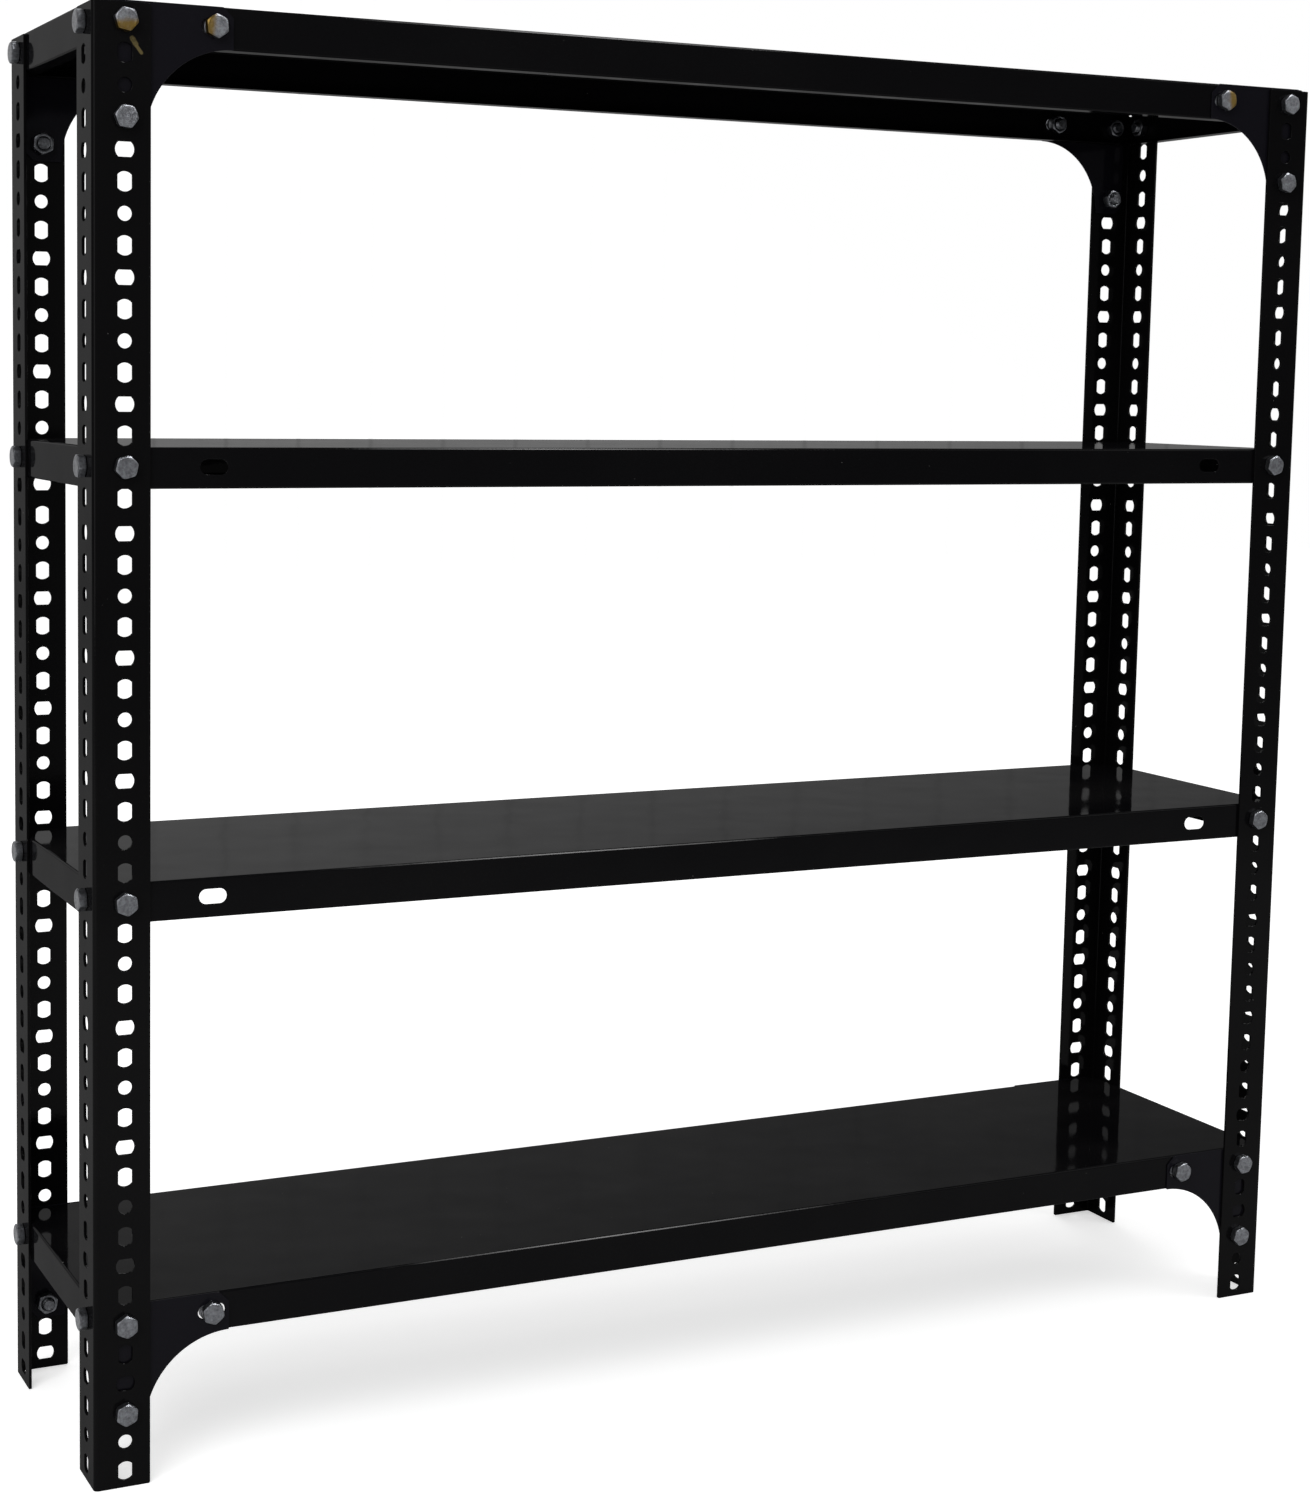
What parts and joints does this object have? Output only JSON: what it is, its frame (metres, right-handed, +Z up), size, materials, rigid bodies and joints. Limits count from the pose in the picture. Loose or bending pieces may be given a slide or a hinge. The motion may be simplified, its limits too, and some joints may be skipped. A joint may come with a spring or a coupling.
{
  "type": "bolted slotted-angle storage rack",
  "caption": "Open storage rack of slotted steel angle posts, folded tray shelves and corner gusset plates, joined by hex bolts and nuts.",
  "frame": {"origin": "on the floor, at the centre of the four posts", "axes": "+X right along the shelves' width, +Y from the front to the rear, +Z up"},
  "size_m": [0.929, 0.2178, 0.9158],
  "materials": {
    "post_finish": "glossy black powder coat",
    "shelf_finish": "glossy black powder coat",
    "gusset_finish": "glossy black powder coat",
    "bolt_zinc": "bright zinc plate with a faint yellow passivation",
    "nut_zinc": "bright zinc plate"
  },
  "bodies": {
    "root": {"post_front_left": "post_finish", "post_front_right": "post_finish", "post_rear_left": "post_finish", "post_rear_right": "post_finish", "shelf_top": "shelf_finish", "shelf_upper": "shelf_finish", "shelf_lower": "shelf_finish", "shelf_bottom": "shelf_finish", "gusset_top_front_left": "gusset_finish", "gusset_top_front_right": "gusset_finish", "gusset_top_rear_left": "gusset_finish", "gusset_top_rear_right": "gusset_finish", "gusset_bottom_front_left": "gusset_finish", "gusset_bottom_front_right": "gusset_finish", "gusset_bottom_rear_left": "gusset_finish", "gusset_bottom_rear_right": "gusset_finish", "bolts_shelf_top": "bolt_zinc", "bolts_shelf_upper": "bolt_zinc", "bolts_shelf_lower": "bolt_zinc", "bolts_shelf_bottom": "bolt_zinc", "bolts_gussets_top": "bolt_zinc", "bolts_gussets_bottom": "bolt_zinc", "nuts_shelf_top": "nut_zinc", "nuts_shelf_upper": "nut_zinc", "nuts_shelf_lower": "nut_zinc", "nuts_shelf_bottom": "nut_zinc", "nuts_gussets_top": "nut_zinc", "nuts_gussets_bottom": "nut_zinc"}
  },
  "joints": []
}
